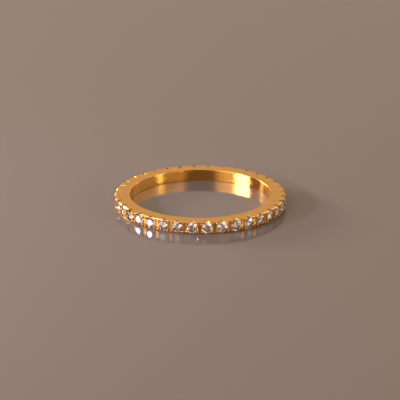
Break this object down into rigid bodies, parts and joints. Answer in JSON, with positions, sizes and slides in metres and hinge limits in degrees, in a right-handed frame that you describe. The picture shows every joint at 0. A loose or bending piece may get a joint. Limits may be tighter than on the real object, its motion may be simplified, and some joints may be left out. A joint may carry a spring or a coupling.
{
  "type": "eternity ring",
  "caption": "Thin full eternity ring: a gold band with flat sides, notched under each stone, and one row of clear round brilliants held by small beads.",
  "frame": {"origin": "centre of the ring on the side face that it lies on", "axes": "+Z along the axis of the finger hole, up from the surface that the ring lies on; -Y towards the front, where a gap between two stones is centred; +X to the right of the front"},
  "size_m": [0.021, 0.021, 0.0014],
  "materials": {
    "gold": "yellow gold, satin on the two side faces, polished inside and on the beads",
    "stone": "clear brilliant cut, polished facets"
  },
  "bodies": {
    "root": {"band": "gold", "stone_01": "stone", "stone_02": "stone", "stone_03": "stone", "stone_04": "stone", "stone_05": "stone", "stone_06": "stone", "stone_07": "stone", "stone_08": "stone", "stone_09": "stone", "stone_10": "stone", "stone_11": "stone", "stone_12": "stone", "stone_13": "stone", "stone_14": "stone", "stone_15": "stone", "stone_16": "stone", "stone_17": "stone", "stone_18": "stone", "stone_19": "stone", "stone_20": "stone", "stone_21": "stone", "stone_22": "stone", "stone_23": "stone", "stone_24": "stone", "stone_25": "stone", "stone_26": "stone", "stone_27": "stone", "stone_28": "stone", "stone_29": "stone", "stone_30": "stone", "stone_31": "stone", "stone_32": "stone", "stone_33": "stone", "stone_34": "stone", "stone_35": "stone", "stone_36": "stone"}
  },
  "joints": []
}
